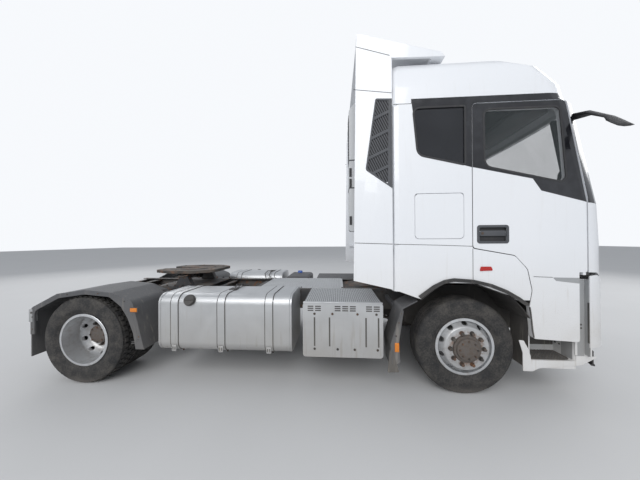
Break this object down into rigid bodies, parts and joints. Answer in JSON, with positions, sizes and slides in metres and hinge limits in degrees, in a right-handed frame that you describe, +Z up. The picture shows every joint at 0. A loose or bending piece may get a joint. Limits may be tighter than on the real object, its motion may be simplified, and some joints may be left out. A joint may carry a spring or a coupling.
{
  "type": "semi truck tractor unit",
  "caption": "Forward-control high-roof road tractor with sleeper cab, steered front axle, twin rear wheels, side tanks and a rocking coupling plate for a semi-trailer.",
  "frame": {"origin": "on the ground under the middle of the truck's length and width", "axes": "+X forward to the bumper, +Y to the truck's left side, +Z up"},
  "size_m": [6.357, 3.03, 3.8266],
  "materials": {
    "white_paint": "gloss white paint",
    "black_plastic": "matt black moulding",
    "grey_plastic": "grained dark grey moulding",
    "frame_paint": "dull dark chassis paint",
    "wheel_paint": "silver wheel paint",
    "cast_metal": "dark cast metal with a little rust",
    "bare_aluminium": "dull aluminium",
    "tyre": "dusty black rubber",
    "glass": "lightly tinted",
    "seat_fabric": "dark woven fabric",
    "red_lens": "red lens",
    "clear_lens": "clear lens"
  },
  "bodies": {
    "chassis": {"front_axle": "cast_metal", "frame_rails": "frame_paint", "leaf_springs": "cast_metal", "rear_axle": "cast_metal", "engine": "cast_metal", "cross_members": "frame_paint", "front_bumper": "white_paint", "headlamps": "clear_lens", "entry_steps": "grey_plastic", "mudguards": "grey_plastic", "tail_lamps": "red_lens", "fuel_tanks": "bare_aluminium", "tank_straps": "bare_aluminium", "step_box": "bare_aluminium", "battery_and_urea_boxes": "grey_plastic", "air_tanks": "frame_paint", "coupling_base": "frame_paint", "deck_plate": "bare_aluminium"},
    "cab": {"cab_side_left": "white_paint", "cab_side_right": "white_paint", "cab_rear_wall": "white_paint", "cab_roof": "white_paint", "cab_floor": "frame_paint", "cab_front": "white_paint", "cab_glass": "glass", "roof_deflector": "white_paint", "side_fairings": "white_paint", "air_intake": "black_plastic", "dashboard": "grey_plastic", "steering_wheel": "black_plastic", "seat_bases": "grey_plastic", "seats": "seat_fabric", "bunk": "seat_fabric", "camera_arms": "black_plastic", "arch_trims": "grey_plastic"},
    "door_left": {"door_left": "white_paint", "door_glass_left": "glass"},
    "door_right": {"door_right": "white_paint", "door_glass_right": "glass"},
    "front_flap": {"front_flap": "white_paint"},
    "locker_lid_left": {"locker_lid_left": "white_paint"},
    "locker_lid_right": {"locker_lid_right": "white_paint"},
    "knuckle_left": {"knuckle_left": "cast_metal"},
    "knuckle_right": {"knuckle_right": "cast_metal"},
    "tie_rod": {"tie_rod": "cast_metal"},
    "front_wheel_left": {"front_wheel_left": "wheel_paint", "front_tyre_left": "tyre"},
    "front_wheel_right": {"front_wheel_right": "wheel_paint", "front_tyre_right": "tyre"},
    "rear_wheels_left": {"rear_wheel_left": "wheel_paint", "rear_tyres_left": "tyre"},
    "rear_wheels_right": {"rear_wheel_right": "wheel_paint", "rear_tyres_right": "tyre"},
    "coupling_plate": {"coupling_plate": "cast_metal"}
  },
  "joints": [
    {"name": "cab_tilt", "type": "hinge", "parent": "chassis", "child": "cab", "pos_m": [2.9415, 0, 1.14], "axis": [0, 1, 0], "range_deg": [0, 60]},
    {"name": "door_left_swing", "type": "hinge", "parent": "cab", "child": "door_left", "pos_m": [2.8465, 1.234, 1.5], "axis": [0, 0, -1], "range_deg": [0, 75]},
    {"name": "door_right_swing", "type": "hinge", "parent": "cab", "child": "door_right", "pos_m": [2.8465, -1.234, 1.5], "axis": [0, 0, 1], "range_deg": [0, 75]},
    {"name": "front_flap_lift", "type": "hinge", "parent": "cab", "child": "front_flap", "pos_m": [3.1685, 0, 1.89], "axis": [0, -1, 0], "range_deg": [0, 75]},
    {"name": "locker_lid_left_lift", "type": "hinge", "parent": "cab", "child": "locker_lid_left", "pos_m": [1.4715, 1.239, 2.094], "axis": [1, 0, 0], "range_deg": [0, 80]},
    {"name": "locker_lid_right_lift", "type": "hinge", "parent": "cab", "child": "locker_lid_right", "pos_m": [1.4715, -1.239, 2.094], "axis": [-1, 0, 0], "range_deg": [0, 80]},
    {"name": "steer_left", "type": "hinge", "parent": "chassis", "child": "knuckle_left", "pos_m": [1.7615, 0.846, 0.5], "axis": [0, 0, 1], "range_deg": [-38, 38]},
    {"name": "steer_right", "type": "hinge", "parent": "chassis", "child": "knuckle_right", "pos_m": [1.7615, -0.846, 0.5], "axis": [0, 0, 1], "range_deg": [-38, 38]},
    {"name": "tie_rod_pivot", "type": "hinge", "parent": "knuckle_left", "child": "tie_rod", "pos_m": [1.5815, 0.846, 0.366], "axis": [0, 0, 1], "range_deg": [-38, 38]},
    {"name": "front_wheel_left_turn", "type": "hinge", "parent": "knuckle_left", "child": "front_wheel_left", "pos_m": [1.7615, 1.02, 0.5], "axis": [0, 1, 0], "continuous": true},
    {"name": "front_wheel_right_turn", "type": "hinge", "parent": "knuckle_right", "child": "front_wheel_right", "pos_m": [1.7615, -1.02, 0.5], "axis": [0, 1, 0], "continuous": true},
    {"name": "rear_wheels_left_turn", "type": "hinge", "parent": "chassis", "child": "rear_wheels_left", "pos_m": [-2.4885, 0.925, 0.5], "axis": [0, 1, 0], "continuous": true},
    {"name": "rear_wheels_right_turn", "type": "hinge", "parent": "chassis", "child": "rear_wheels_right", "pos_m": [-2.4885, -0.925, 0.5], "axis": [0, 1, 0], "continuous": true},
    {"name": "coupling_plate_rock", "type": "hinge", "parent": "chassis", "child": "coupling_plate", "pos_m": [-1.8385, 0, 1.11], "axis": [0, 1, 0], "range_deg": [-12, 12]}
  ],
  "couplings": [
    {"joint": "steer_right", "follows": "steer_left", "ratio": 1},
    {"joint": "tie_rod_pivot", "follows": "steer_left", "ratio": -1}
  ]
}
